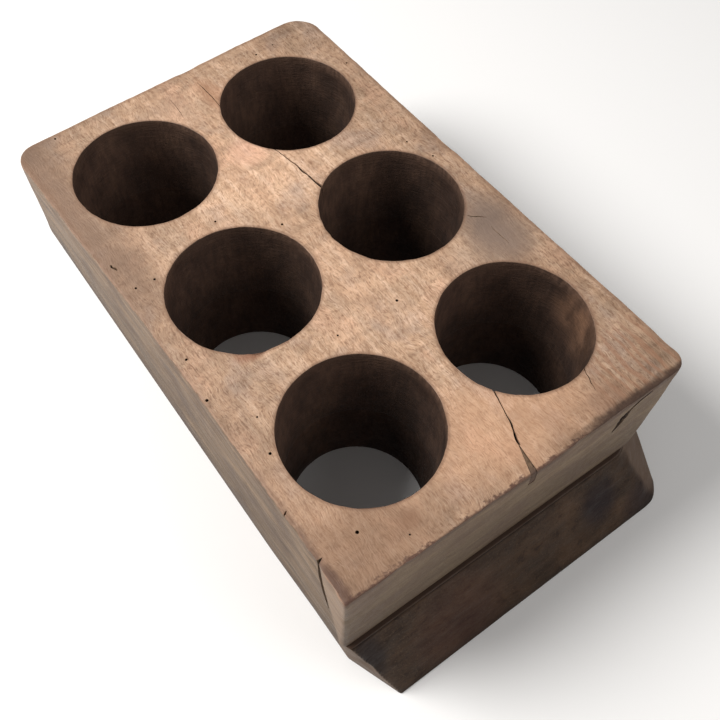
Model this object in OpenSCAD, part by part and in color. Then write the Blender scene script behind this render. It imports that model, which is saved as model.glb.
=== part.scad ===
// Six-hole wooden egg holder block.
// Two solid wood blocks, one on the other, pegged together by six hidden dowels.
// Six slightly tapered holes go through both. Millimetres, +Z up, the origin is
// on the surface that the block stands on, under the middle of its outline.
// The near end is at -Y, the left side is at -X.

/* [Overall] */
// Width of the upper block at its top face, across the two rows of holes
block_w = 194; // [190:1:204]
// Height of both blocks together
total_h = 93; // [85:1:110]
// Height of the upper block
upper_h = 52; // [46:1:58]

/* [Holes] */
// Diameter of each hole at the top face
hole_d_top = 76.2; // [60:0.2:77]
// Diameter of each hole at the underside
hole_d_bottom = 71.8; // [56:0.2:74]
// Distance between hole centres across the block
hole_pitch_x = 91.7; // [90:0.1:93]
// Distance between hole centres along the block
hole_pitch_y = 94.8; // [93:0.1:96]

/* [Upper block] */
// Distance from the middle to the top edge of the near end
near_end_y = 153.8; // [152:0.2:158]
// Distance from the middle to the top edge of the far end
far_end_y = 153.2; // [150:0.2:156]
// Angle of the near end across the block, out of square
near_skew = 1.4; // [0:0.1:2]
// Angle of the far end across the block, out of square
far_skew = 1.8; // [0:0.1:2]
// How far each end face leans out from the top edge to the joint
end_lean = 3; // [1:0.5:5]
// How far each long side leans out from the top edge to the joint
side_lean = 4; // [1:0.5:5]
// Radius of the worn corner at the near right, at the joint
near_right_r = 24; // [8:1:26]
// Radius of the worn corner at the far right, at the joint
far_right_r = 20; // [8:1:22]
// Radius of the worn corner at the far left, at the joint
far_left_r = 17; // [8:1:20]
// Radius of the nearly sharp corner at the near left, at the joint
near_left_r = 7; // [5:1:12]

/* [Lower block] */
// How far the right side stands in from the upper block's side at the joint
side_inset = 1.5; // [1:0.5:4]
// How far the left side stands in from the upper block's side, half way along
left_inset = 3.4; // [2:0.2:5]
// Angle of the left side along the block, out of square
left_skew = 1.1; // [0:0.1:1.2]
// How far each long side leans in from the joint to the ground
side_tuck = 4.5; // [1:0.5:6]
// Width of the narrow ledge that shows along each end at the joint
ledge = 1.7; // [1:0.1:3]
// How far each end slopes out from its ledge to the ground
toe_out = 23.5; // [16:0.5:30]
// Where the left corner of each toe starts to be trimmed, from the middle
toe_trim_y = 154.4; // [148:0.2:158]
// Angle of this trimmed corner
toe_trim_angle = 20; // [12:1:24]
// Angle that this trimmed corner leans in towards the ground
toe_trim_lean = 6; // [4:1:10]
// Where the far left corner, upright and hidden, starts to be trimmed
far_trim_y = 142.5; // [138:0.5:150]
// Distance of the bevel at the right of each toe from the middle, at the joint
toe_bevel = 164; // [163:0.2:172]
// Angle that this bevel leans out towards the ground
toe_bevel_lean = 33; // [26:1:35]

/* [Drying crack and its filler] */
// Length of the filled, open end of the crack
filler_len = 16; // [12:1:24]
// Width of the filler at the end face
filler_w = 4.4; // [2:0.2:6]
// Depth of the filler from the top face
filler_depth = 9; // [5:1:16]

/* [Dowels] */
// Diameter of each dowel
dowel_d = 10; // [8:0.5:12]
// Length of each dowel, half of it in each block
dowel_len = 40; // [24:2:50]
// Space left at each end of a dowel for air and glue
dowel_gap = 1; // [0.5:0.5:3]

/* [Hidden] */

light_wood = [0.68, 0.54, 0.43];
dark_wood = [0.25, 0.19, 0.15];
filler_tone = [0.47, 0.40, 0.33];
peg_wood = [0.78, 0.66, 0.48];

lower_h = total_h - upper_h;
// The holes' grid stands a little off the middle of the outline.
grid_x = 0;
grid_y = 2.7;
side_x = block_w / 2;
hole_r_top = hole_d_top / 2;
hole_r_bottom = hole_d_bottom / 2;
lean_angle = atan(end_lean / upper_h);
side_angle = atan(side_lean / upper_h);
tuck_angle = atan(side_tuck / lower_h);
joint_x = side_x + side_lean;
toe_angle = atan(toe_out / lower_h);
big = 500;

// Places of the six holes and of the six dowels.
HOLES = [for (i = [-0.5, 0.5], j = [-1, 0, 1])
         [grid_x + i * hole_pitch_x, grid_y + j * hole_pitch_y]];
centre_dowel_y = hole_pitch_y / 2;
corner_dowel_x = side_x - 17;
corner_dowel_y = 137;

// Everything beyond an upright end plane. side is -1 at the near end and 1 at the
// far end, y is the plane's distance from the middle at height z, skew turns it
// about +Z, and lean tips its upper edge towards the middle.
module beyond_end(side, y, z, skew, lean) {
    translate([0, side * y, z])
        rotate([0, 0, side > 0 ? skew : -skew])
            rotate([side * lean, 0, 0])
                translate([-big / 2, side > 0 ? 0 : -big / 2, -big / 2])
                    cube([big, big / 2, big]);
}

// Everything beyond a side plane. side is -1 at the left and 1 at the right, x is
// the plane's distance from the middle at height z, lean tips its upper edge
// towards the middle, and skew turns it about +Z.
module beyond_side(side, x, z, lean, skew = 0) {
    rotate([0, 0, 90]) beyond_end(-side, x, z, skew, lean);
}

// What is trimmed from an upright corner to round it. sx and sy give the corner.
module corner_waste(sx, sy, x, y, r, h) {
    translate([sx * (x - r), sy * (y - r), -1])
        difference() {
            translate([sx > 0 ? 0 : -60, sy > 0 ? 0 : -60, 0]) cube([60, 60, h + 2]);
            translate([0, 0, -1]) cylinder(r = r, h = h + 4, $fn = 96);
        }
}

// A squared blank, a little larger than a block, from height z up.
module blank(z, h) {
    translate([-joint_x - 4, -195, z]) cube([2 * joint_x + 8, 390, h]);
}

// The six tapered holes, through both blocks.
module holes() {
    slope = (hole_r_top - hole_r_bottom) / total_h;
    for (p = HOLES)
        translate([p[0], p[1], -2])
            cylinder(r1 = hole_r_bottom - 2 * slope, r2 = hole_r_top + 2 * slope,
                     h = total_h + 4, $fn = 96);
}

// The sockets for the dowels, half in each block.
module dowel_place(x, y, extra) {
    translate([grid_x + x, grid_y + y, lower_h - dowel_len / 2 - extra])
        cylinder(d = dowel_d, h = dowel_len + 2 * extra, $fn = 48);
}

module sockets() {
    for (s = [-1, 1]) dowel_place(0, s * centre_dowel_y, dowel_gap);
    for (sx = [-1, 1], sy = [-1, 1])
        dowel_place(sx * corner_dowel_x, sy * corner_dowel_y, dowel_gap);
}

// The wedge of the crack's open end. It is widest at the near end face.
module crack_wedge() {
    translate([grid_x + 0.4, -near_end_y, total_h - filler_depth])
        rotate([0, 0, -15])
            linear_extrude(height = filler_depth + 5)
                polygon([[0, filler_len], [-filler_w / 2, -4], [filler_w / 2, -4]]);
}

// The upper block before the crack is cut.
module upper_body() {
    difference() {
        blank(lower_h, upper_h);
        beyond_end(-1, near_end_y, total_h, near_skew, lean_angle);
        beyond_end(1, far_end_y, total_h, far_skew, lean_angle);
        beyond_side(-1, side_x, total_h, side_angle);
        beyond_side(1, side_x, total_h, side_angle);
        corner_waste(1, -1, joint_x + 0.8, near_end_y + end_lean + 3.0, near_right_r, total_h);
        corner_waste(-1, -1, joint_x + 0.8, near_end_y + end_lean - 1.7, near_left_r, total_h);
        corner_waste(1, 1, joint_x + 0.8, far_end_y + end_lean + 4.0, far_right_r, total_h);
        corner_waste(-1, 1, joint_x + 0.8, far_end_y + end_lean - 2.4, far_left_r, total_h);
        holes();
        sockets();
    }
}

module upper_block() {
    color(light_wood)
        difference() {
            upper_body();
            crack_wedge();
        }
}

// The left corner of a toe is trimmed back at an angle.
module toe_trim(sx, sy, y, lean) {
    translate([sx * (joint_x - side_inset - side_tuck), sy * y, 0])
        rotate([0, 0, sx * sy * toe_trim_angle])
            rotate([0, sx * lean, 0])
                translate([sx > 0 ? 0 : -80, sy > 0 ? -20 : -100, -60]) cube([80, 120, 160]);
}

// The right corner of a toe is bevelled across.
module toe_bevel_cut(sy) {
    rotate([0, 0, sy < 0 ? 45 : 135])
        beyond_end(-1, toe_bevel, lower_h, 0, toe_bevel_lean);
}

module lower_block() {
    x = joint_x - side_inset;
    color(dark_wood)
        difference() {
            blank(0, lower_h);
            beyond_end(-1, near_end_y + end_lean + ledge, lower_h, near_skew, toe_angle);
            beyond_end(1, far_end_y + end_lean + ledge, lower_h, far_skew, toe_angle);
            beyond_side(-1, joint_x - left_inset, lower_h, -tuck_angle, -left_skew);
            beyond_side(1, x, lower_h, -tuck_angle);
            toe_trim(-1, -1, toe_trim_y, toe_trim_lean);
            toe_trim(-1, 1, far_trim_y, 0);
            toe_bevel_cut(-1);
            toe_bevel_cut(1);
            holes();
            sockets();
        }
}

module crack_filler() {
    color(filler_tone)
        intersection() {
            upper_body();
            crack_wedge();
        }
}

module centre_dowel_near() { color(peg_wood) dowel_place(0, -centre_dowel_y, 0); }
module centre_dowel_far() { color(peg_wood) dowel_place(0, centre_dowel_y, 0); }
module corner_dowel_near_left() { color(peg_wood) dowel_place(-corner_dowel_x, -corner_dowel_y, 0); }
module corner_dowel_near_right() { color(peg_wood) dowel_place(corner_dowel_x, -corner_dowel_y, 0); }
module corner_dowel_far_left() { color(peg_wood) dowel_place(-corner_dowel_x, corner_dowel_y, 0); }
module corner_dowel_far_right() { color(peg_wood) dowel_place(corner_dowel_x, corner_dowel_y, 0); }

upper_block();
lower_block();
crack_filler();
centre_dowel_near();
centre_dowel_far();
corner_dowel_near_left();
corner_dowel_near_right();
corner_dowel_far_left();
corner_dowel_far_right();
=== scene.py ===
"""Looks for the six-hole wooden egg holder block. Metres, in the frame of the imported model.

Lengths inside the helpers are millimetres and become metres when a mesh is made.
"""

import math

import bpy
import numpy as np
from mathutils import Matrix, Vector
from mathutils.geometry import delaunay_2d_cdt


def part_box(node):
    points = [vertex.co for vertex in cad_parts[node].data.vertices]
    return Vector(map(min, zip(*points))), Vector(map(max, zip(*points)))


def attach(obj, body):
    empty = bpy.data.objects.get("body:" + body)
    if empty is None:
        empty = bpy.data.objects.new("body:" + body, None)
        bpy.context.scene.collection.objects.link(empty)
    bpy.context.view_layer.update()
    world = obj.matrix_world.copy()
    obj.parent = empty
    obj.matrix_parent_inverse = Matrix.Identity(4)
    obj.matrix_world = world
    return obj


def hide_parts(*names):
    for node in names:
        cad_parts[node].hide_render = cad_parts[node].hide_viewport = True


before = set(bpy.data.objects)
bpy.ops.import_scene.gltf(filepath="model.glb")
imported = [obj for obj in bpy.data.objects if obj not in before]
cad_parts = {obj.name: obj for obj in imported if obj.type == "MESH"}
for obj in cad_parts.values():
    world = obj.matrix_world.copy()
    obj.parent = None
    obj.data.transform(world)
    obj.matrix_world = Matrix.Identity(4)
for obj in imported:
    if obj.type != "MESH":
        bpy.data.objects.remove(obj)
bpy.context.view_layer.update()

# ------------------------------------------------------------------ sizes, in mm
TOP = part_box("upper_block")[1].z * 1000.0
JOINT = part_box("upper_block")[0].z * 1000.0
GRID_Y = 2.7
PITCH_X, PITCH_Y = 91.7, 94.8
R_TOP, R_BOTTOM = 38.1, 35.9
NEAR_Y, FAR_Y = 153.8, 153.2
NEAR_SKEW, FAR_SKEW, LEFT_SKEW = math.radians(1.4), math.radians(1.8), math.radians(1.1)
HOLES = [
    (i * PITCH_X, GRID_Y + j * PITCH_Y) for i in (-0.5, 0.5) for j in (-1.0, 0.0, 1.0)
]
DOWELS = [(0.0, GRID_Y + s * PITCH_Y / 2) for s in (-1, 1)] + [
    (sx * 80.0, GRID_Y + sy * 137.0) for sx in (-1, 1) for sy in (-1, 1)
]


def hole_r(z):
    return R_BOTTOM + (R_TOP - R_BOTTOM) * z / TOP


# ------------------------------------------------------------------ noise
def vnoise(p, seed=0):
    """Smooth value noise from -1 to 1 at points p, which are already divided by the wanted length."""
    p = np.asarray(p, float)
    i = np.floor(p).astype(np.int64)
    f = p - i
    f = f * f * f * (f * (f * 6 - 15) + 10)

    def h(ix, iy, iz):
        n = (ix * 374761393 + iy * 668265263 + iz * 2147483647 + seed * 974711) & 0xFFFFFFFF
        n = ((n ^ (n >> 13)) * 1274126177) & 0xFFFFFFFF
        n = n ^ (n >> 16)
        return (n & 0xFFFFFF) / float(0xFFFFFF) * 2 - 1

    out = 0
    for dx in (0, 1):
        wx = f[:, 0] if dx else 1 - f[:, 0]
        for dy in (0, 1):
            wy = f[:, 1] if dy else 1 - f[:, 1]
            for dz in (0, 1):
                wz = f[:, 2] if dz else 1 - f[:, 2]
                out = out + wx * wy * wz * h(i[:, 0] + dx, i[:, 1] + dy, i[:, 2] + dz)
    return out


def smooth(a, b, x):
    t = np.clip((x - a) / (b - a), 0, 1)
    return t * t * (3 - 2 * t)


# ------------------------------------------------------------------ outlines
def half_planes_polygon(planes):
    """Corners, in order, of the convex region n.p <= d for each (nx, ny, d, corner radius after it)."""
    order = sorted(planes, key=lambda q: math.atan2(q[1], q[0]))
    n = len(order)
    pts = []
    for k in range(n):
        a, b = order[k], order[(k + 1) % n]
        det = a[0] * b[1] - a[1] * b[0]
        x = (a[2] * b[1] - a[1] * b[2]) / det
        y = (a[0] * b[2] - a[2] * b[0]) / det
        pts.append((x, y, a[3]))
    return pts


def rounded(pts, step=0.8):
    """Dense closed polyline of a convex polygon with a radius at each corner."""
    n = len(pts)
    P = [np.array(p[:2]) for p in pts]
    out = []
    for k in range(n):
        p, a, b = P[k], P[k - 1], P[(k + 1) % n]
        u, v = a - p, b - p
        lu, lv = np.linalg.norm(u), np.linalg.norm(v)
        u, v = u / lu, v / lv
        half = math.acos(max(-1, min(1, float(u @ v)))) / 2
        t = min(pts[k][2] / math.tan(half), 0.46 * lu, 0.46 * lv)
        r = t * math.tan(half)
        c = p + (u + v) / np.linalg.norm(u + v) * (r / math.sin(half))
        s0, s1 = p + u * t, p + v * t
        a0 = math.atan2(*(s0 - c)[::-1])
        a1 = math.atan2(*(s1 - c)[::-1])
        while a1 < a0:
            a1 += 2 * math.pi
        m = max(3, int(r * (a1 - a0) / step) + 3)
        for q in range(m + 1):
            an = a0 + (a1 - a0) * q / m
            out.append(c + r * np.array([math.cos(an), math.sin(an)]))
    dense = []
    for k in range(len(out)):
        a, b = out[k], out[(k + 1) % len(out)]
        m = max(1, int(np.linalg.norm(b - a) / 2.0))
        for q in range(m):
            dense.append(a + (b - a) * q / m)
    return np.array(dense)


def polar(poly, th):
    """The outline's points at the angles th about the origin."""
    an = np.unwrap(np.arctan2(poly[:, 1], poly[:, 0]))
    k0 = int(np.argmin(np.mod(an, 2 * math.pi)))
    poly = np.roll(poly, -k0, axis=0)
    an = np.mod(np.arctan2(poly[:, 1], poly[:, 0]), 2 * math.pi)
    an = np.concatenate([[an[-1] - 2 * math.pi], an, [an[0] + 2 * math.pi]])
    pp = np.vstack([poly[-1], poly, poly[0]])
    j = np.clip(np.searchsorted(an, th, side="right") - 1, 0, len(an) - 2)
    a, b = pp[j], pp[j + 1]
    ux, uy = np.cos(th), np.sin(th)
    d = b - a
    r = (a[:, 0] * d[:, 1] - a[:, 1] * d[:, 0]) / (ux * d[:, 1] - uy * d[:, 0])
    return np.stack([ux * r, uy * r], 1)


def angles_for(poly, step):
    """Angles about the origin, evenly spaced along an outline."""
    q = np.vstack([poly, poly[:1]])
    s = np.concatenate([[0], np.cumsum(np.linalg.norm(np.diff(q, axis=0), axis=1))])
    n = int(s[-1] / step)
    t = np.linspace(0, s[-1], n, endpoint=False)
    x, y = np.interp(t, s, q[:, 0]), np.interp(t, s, q[:, 1])
    return np.sort(np.mod(np.arctan2(y, x), 2 * math.pi))


def upper_outline(z, inset=0.0):
    k = (TOP - z) / (TOP - JOINT)
    ny, fy, sx = NEAR_Y + 3 * k, FAR_Y + 3 * k, 97.0 + 4 * k
    cn, sn = math.cos(NEAR_SKEW), math.sin(NEAR_SKEW)
    cf, sf = math.cos(FAR_SKEW), math.sin(FAR_SKEW)
    r = lambda top, low: max(0.8, top + (low - top) * k)
    return rounded(
        half_planes_polygon(
            [
                (-1, 0, sx - inset, r(1.2, 3.5)),
                (-sn, -cn, ny * cn - inset, r(8.0, 31.0)),
                (1, 0, sx + 0.4 - inset, r(15.0, 20.0)),
                (-sf, cf, fy * cf - inset, r(12.0, 17.0)),
            ]
        )
    )


def lower_outline(z, inset=0.0):
    k = (JOINT - z) / JOINT
    ny, fy, sx = 158.5 + 23.5 * k, 157.9 + 23.5 * k, 99.5 - 4.5 * k
    cl, sl = math.cos(LEFT_SKEW), math.sin(LEFT_SKEW)
    cn, sn = math.cos(NEAR_SKEW), math.sin(NEAR_SKEW)
    cf, sf = math.cos(FAR_SKEW), math.sin(FAR_SKEW)
    # The trimmed left corners: a plane turned 20 degrees that leans in 6 degrees.
    ca, sa, q = math.cos(math.radians(20)), math.sin(math.radians(20)), math.tan(math.radians(6))
    d = 95.0 * ca + 154.4 * sa + q * z
    far_d = 138.0
    b = 163.9 + (JOINT - z) * math.tan(math.radians(33))
    bn = 161.6 + (JOINT - z) * math.tan(math.radians(35.3))
    h = math.sqrt(0.5)
    return rounded(
        half_planes_polygon(
            [
                (-cl, sl, (97.6 - 4.5 * k) * cl - inset, 4.0),
                (-ca, -sa, d - inset, 1.3),
                (-sn, -cn, ny * cn - inset, 12.0),
                (h, -h, bn - inset, 12.0),
                (1, 0, sx - inset, 9.0),
                (h, h, b - inset, 8.0),
                (-sf, cf, fy * cf - inset, 2.0 + 8.0 * z / JOINT),
                (-ca, sa, far_d - inset, 5.0),
            ]
        )
    )


# ------------------------------------------------------------------ mesh building
class Shell:
    def __init__(self):
        self.v, self.f, self.n = [], [], 0

    def pts(self, xy, z):
        xy = np.asarray(xy, float)
        z = np.broadcast_to(np.asarray(z, float), (len(xy),))
        self.v.append(np.column_stack([xy, z]))
        i = np.arange(self.n, self.n + len(xy))
        self.n += len(xy)
        return i

    def band(self, a, b):
        a2, b2 = np.roll(a, -1), np.roll(b, -1)
        self.f.append(np.stack([a, a2, b2], 1))
        self.f.append(np.stack([a, b2, b], 1))

    def ring(self, c, r, z, n):
        t = np.arange(n) * 2 * math.pi / n
        return self.pts(np.stack([c[0] + r * np.cos(t), c[1] + r * np.sin(t)], 1), z)

    def fan(self, loop, c, z, up):
        m = self.pts([c], z)[0]
        a, b = loop, np.roll(loop, -1)
        t = np.stack([a, b, np.full(len(a), m)], 1)
        self.f.append(t if up else t[:, ::-1])

    def fill(self, outer, rings, z, step, up):
        """Fills between an outline and rings, each (indices, centre, radius), with a fine even mesh."""
        allv = np.vstack(self.v)
        loops = [outer] + [r[0] for r in rings]
        idx = np.concatenate(loops)
        P = allv[idx, :2]
        edges, k = [], 0
        for lp in loops:
            m = len(lp)
            edges += [(k + i, k + (i + 1) % m) for i in range(m)]
            k += m
        o = allv[outer, :2]
        nx = int((o[:, 0].max() - o[:, 0].min()) / step) + 1
        ny = int((o[:, 1].max() - o[:, 1].min()) / (step * 0.87)) + 1
        gx, gy = np.meshgrid(np.arange(nx), np.arange(ny))
        X = o[:, 0].min() + (gx + 0.5 * (gy % 2)) * step
        Y = o[:, 1].min() + gy * step * 0.87
        G = np.stack([X.ravel(), Y.ravel()], 1)
        J = np.column_stack([G / 3.1, np.full(len(G), 0.5)])
        G = G + 0.22 * step * np.stack([vnoise(J * 7.3, 5), vnoise(J * 7.3, 6)], 1)
        th = np.mod(np.arctan2(G[:, 1], G[:, 0]), 2 * math.pi)
        lim = polar_r(o, th)
        keep = np.hypot(G[:, 0], G[:, 1]) < lim - 0.62 * step
        for _, c, r in rings:
            keep &= np.hypot(G[:, 0] - c[0], G[:, 1] - c[1]) > r + 0.55 * step
        G = G[keep]
        new = self.pts(G, z)
        idx = np.concatenate([idx, new])
        P = np.vstack([P, G])
        res = delaunay_2d_cdt([Vector(p) for p in P], edges, [], 0, 1e-7)
        ov, tri, orig = np.array([v[:] for v in res[0]]), res[2], res[3]
        tri = np.array([t for t in tri if len(t) == 3])
        cen = ov[tri].mean(1)
        th = np.mod(np.arctan2(cen[:, 1], cen[:, 0]), 2 * math.pi)
        ok = np.hypot(cen[:, 0], cen[:, 1]) < polar_r(o, th) - 1e-4
        for lp, c, r in rings:
            m = len(lp)
            ok &= np.hypot(cen[:, 0] - c[0], cen[:, 1] - c[1]) > r * math.cos(math.pi / m) - 1e-4
        tri = tri[ok]
        back = np.array([idx[g[0]] for g in orig])
        a, b, c = ov[tri[:, 0]], ov[tri[:, 1]], ov[tri[:, 2]]
        area = (b[:, 0] - a[:, 0]) * (c[:, 1] - a[:, 1]) - (b[:, 1] - a[:, 1]) * (c[:, 0] - a[:, 0])
        t = back[tri]
        flip = (area > 0) != up
        t[flip] = t[flip][:, ::-1]
        self.f.append(t)

    def arrays(self):
        return np.vstack(self.v), np.vstack(self.f)


def polar_r(o, th):
    """Distance from the origin to a closed outline at the angles th."""
    return np.hypot(*polar(o, th).T)


def normals(V, F):
    n = np.cross(V[F[:, 1]] - V[F[:, 0]], V[F[:, 2]] - V[F[:, 0]])
    out = np.zeros_like(V)
    for k in range(3):
        np.add.at(out, F[:, k], n)
    return out / np.maximum(np.linalg.norm(out, axis=1), 1e-12)[:, None]


def rho_to_holes(V):
    c = np.array(HOLES)
    d = np.hypot(V[:, None, 0] - c[None, :, 0], V[:, None, 1] - c[None, :, 1])
    return d.min(1)


def make_object(name, V, F):
    me = bpy.data.meshes.new(name)
    me.from_pydata((V * 0.001).tolist(), [], F.tolist())
    me.validate()
    ob = bpy.data.objects.new(name, me)
    bpy.context.scene.collection.objects.link(ob)
    return ob


def apply_modifiers(ob):
    dg = bpy.context.evaluated_depsgraph_get()
    new = bpy.data.meshes.new_from_object(ob.evaluated_get(dg))
    ob.modifiers.clear()
    ob.data = new


def smooth_shade(ob, angle=38):
    me = ob.data
    me.polygons.foreach_set("use_smooth", np.ones(len(me.polygons), bool))
    me.set_sharp_from_angle(angle=math.radians(angle))
    me.update()


# ------------------------------------------------------------------ the upper block
def levels(z0, r0, z1, r1, step):
    """Heights and insets from z0 to z1 with a small round of radius r0 at the bottom edge and r1 at the top."""
    out = []
    for k in range(5):
        a = math.radians(90 * k / 4)
        out.append((z0 + r0 * (1 - math.cos(a)), r0 * (1 - math.sin(a))))
    n = max(2, int((z1 - r1 - z0 - r0) / step))
    for k in range(1, n):
        out.append((z0 + r0 + (z1 - r1 - z0 - r0) * k / n, 0.0))
    for k in range(6):
        a = math.radians(90 * k / 5)
        out.append((z1 - r1 + r1 * math.sin(a), r1 * (1 - math.cos(a))))
    return out


def build_block(outline, z0, z1, r0, r1, side_step, rim0, rim1, sockets_up, fine, coarse, groove=None, dense=()):
    s = Shell()
    th = angles_for(outline((z0 + z1) / 2), side_step)
    more = [math.radians(v) for lo, hi in dense for v in np.arange(lo, hi, 0.11)]
    th = np.array(sorted(set(np.round(np.concatenate([th, np.mod(more, 2 * math.pi)]), 6))))
    th = th[np.concatenate([[True], np.diff(th) > 0.0006])]
    lv = levels(z0, r0, z1, r1, 2.0)
    if groove is not None:
        lv = [q for q in lv if q[0] < groove - 1.0 or q[0] > groove + 0.7]
        lv += [(groove - 0.8, 0.0), (groove - 0.45, 0.05), (groove - 0.2, 0.45), (groove, 0.6), (groove + 0.2, 0.4), (groove + 0.45, 0.05)]
        lv.sort()
    loops = [s.pts(polar(outline(z, e), th), z) for z, e in lv]
    for a, b in zip(loops, loops[1:]):
        s.band(a, b)
    nr = 120
    tops, bottoms = [], []
    for c in HOLES:
        rings = []
        for z, e in levels(z0, rim0, z1, rim1, 2.6):
            rings.append((s.ring(c, hole_r(z) + e, z, nr), z, hole_r(z) + e))
        for (a, _, _), (b, _, _) in zip(rings, rings[1:]):
            s.band(b, a)
        bottoms.append((rings[0][0], c, rings[0][2]))
        tops.append((rings[-1][0], c, rings[-1][2]))
    zj = z0 if sockets_up else z1
    ze = zj + (21 if sockets_up else -21)
    for c in DOWELS:
        a = s.ring(c, 5.05, zj, 28)
        b = s.ring(c, 5.05, ze, 28)
        if sockets_up:
            s.band(b, a)
            s.fan(b, c, ze, False)
            bottoms.append((a, c, 5.05))
        else:
            s.band(a, b)
            s.fan(b, c, ze, True)
            tops.append((a, c, 5.05))
    s.fill(loops[-1], tops, z1, fine, True)
    s.fill(loops[0], bottoms, z0, coarse, False)
    return s.arrays()


V, F = build_block(upper_outline, JOINT, TOP, 0.3, 0.5, 1.3, 0.12, 0.45, True, 1.8, 5.0, dense=((236.0, 238.5),))

# The left side isn't straight: it is hollow along the middle of its top edge, and it
# leans out towards the near end.
dy_top = np.interp(
    V[:, 1], [-156, -151, -115, -35, 41, 131, 150], [-1.9, -1.8, 0.6, 1.7, 1.7, -0.3, -0.3]
)
dy_low = np.clip(1.67 + 0.0216 * (V[:, 1] - 2.7), -0.5, 5.0)
kz = np.clip((TOP - V[:, 2]) / (TOP - JOINT), 0, 1)
V[:, 0] += smooth(86, 94, -V[:, 0]) * (dy_top * (1 - kz) + dy_low * kz)
V[:, 0] -= smooth(87, 94, V[:, 0]) * 0.4 * np.clip(1 - (V[:, 1] / 110) ** 2, 0, 1) * (1 - kz)


def wear(V, F, amount, seed, flat_below=None, hole_amount=0.22):
    """Hand-cut unevenness along the normals. Nothing moves at the joint or on the ground."""
    N = normals(V, F)
    rho = rho_to_holes(V)
    out = smooth(0.2, 3.0, np.abs(V[:, 2] - JOINT))
    side = 1 - np.abs(N[:, 2])
    wall = (rho < hole_r(V[:, 2]) + 0.3).astype(float)
    low = vnoise(V / [55, 70, 30], seed) * 0.6 + vnoise(V / [17, 26, 12], seed + 1) * 0.25
    hewn = vnoise(V / [9, 14, 7], seed + 2) * 0.10 + vnoise(V / [3.2, 7, 3.2], seed + 3) * 0.05
    d_side = amount * (low + hewn) * side
    d_top = (1 - side) * (0.22 * low + 0.5 * hewn - 0.05)
    rim = (vnoise(V / [6, 6, 6], seed + 7) * 0.12 + vnoise(V / [2.4, 2.4, 2.4], seed + 8) * 0.14) * smooth(4.0, 0.3, np.abs(V[:, 2] - TOP))
    d_wall = hole_amount * (
        vnoise(V / [14, 14, 40], seed + 4) + 0.5 * vnoise(V / [5, 5, 3], seed + 5)
    ) + rim
    d = (d_side + d_top) * (1 - wall) + d_wall * wall
    d = d * out
    if flat_below is not None:
        d *= smooth(flat_below, flat_below + 2.5, V[:, 2])
    return V + N * d[:, None], N


def dents(V, N, spots):
    """Small worn hollows: (x, y, z, radius, depth)."""
    for x, y, z, r, dep in spots:
        q = np.linalg.norm(V - [x, y, z], axis=1) / r
        V = V - N * (dep * np.clip(1 - q * q, 0, 1) ** 1.5)[:, None]
    return V


V, N = wear(V, F, 0.6, 11)
# Wear along the top edge and at the corners, worst at the near side.
edge = smooth(2.6, 0.3, TOP - V[:, 2]) * (rho_to_holes(V) > 44)
rim_out = edge * smooth(0.3, 0.8, np.linalg.norm(N[:, :2], axis=1) + 0.2)
V = V - N * (rim_out * (0.10 + 0.16 * vnoise(V / [7, 9, 7], 31) + 0.07 * vnoise(V / [2.5, 3, 3], 32)))[:, None]
V = dents(
    V,
    N,
    [
        (-66, -28, TOP, 8, 0.5),
        (-60, -33, TOP - 2, 6, 0.9),
        (-97.4, -128.5, TOP - 4, 7.0, 0.7),
        (-98.0, -142.4, TOP - 2, 4.0, 0.6),
        (-99.8, -154.0, 74, 6, 0.8),
        (9.0, 9.0, TOP, 4.0, 0.45),
        (8.2, 2.0, TOP, 3.0, 0.5),
        (10.5, 16.0, TOP, 3.5, 0.4),
        (96, -141, TOP, 8, 0.5),
        (30, -155, TOP, 7, 0.5),
        (-20, -153, TOP, 6, 0.45),
        (12, 153, TOP, 9, 0.5),
        (-96, 60, TOP, 8, 0.5),
        (97, 20, TOP, 9, 0.5),
        (55, -155.5, TOP, 5, 0.4),
        (-70, -152, TOP, 6, 0.5),
    ],
)
upper = make_object("worn_upper_block", V, F)

# ------------------------------------------------------------------ the lower block
V, F = build_block(lower_outline, 0.0, JOINT, 0.5, 0.3, 1.3, 0.5, 0.12, False, 5.0, 5.0, groove=JOINT - 1.3, dense=((236.2, 246.0), (112.0, 126.0)))
V, N = wear(V, F, 0.5, 57, flat_below=0.3)
V = dents(
    V,
    N,
    [
        (-93, -163, 22, 7, 0.9),
        (49, -172, 22, 9, 0.8),
        (83, -180, 6, 9, 0.9),
        (-20, -178, 10, 12, 0.7),
        (18, -176, 12, 7, 0.6),
        (-60, -168, 24, 10, 0.5),
        (70, -163, 36, 6, 0.6),
        (40, 170, 20, 10, 0.8),
        (-50, 176, 10, 9, 0.7),
    ],
)
lower = make_object("worn_lower_block", V, F)

# ------------------------------------------------------------------ cracks, flight holes and the slot
cut_v, cut_f = [], []


def add_cut(v, f):
    k = sum(len(a) for a in cut_v)
    cut_v.append(np.array(v, float))
    cut_f.append([tuple(i + k for i in t) for t in f])


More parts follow.
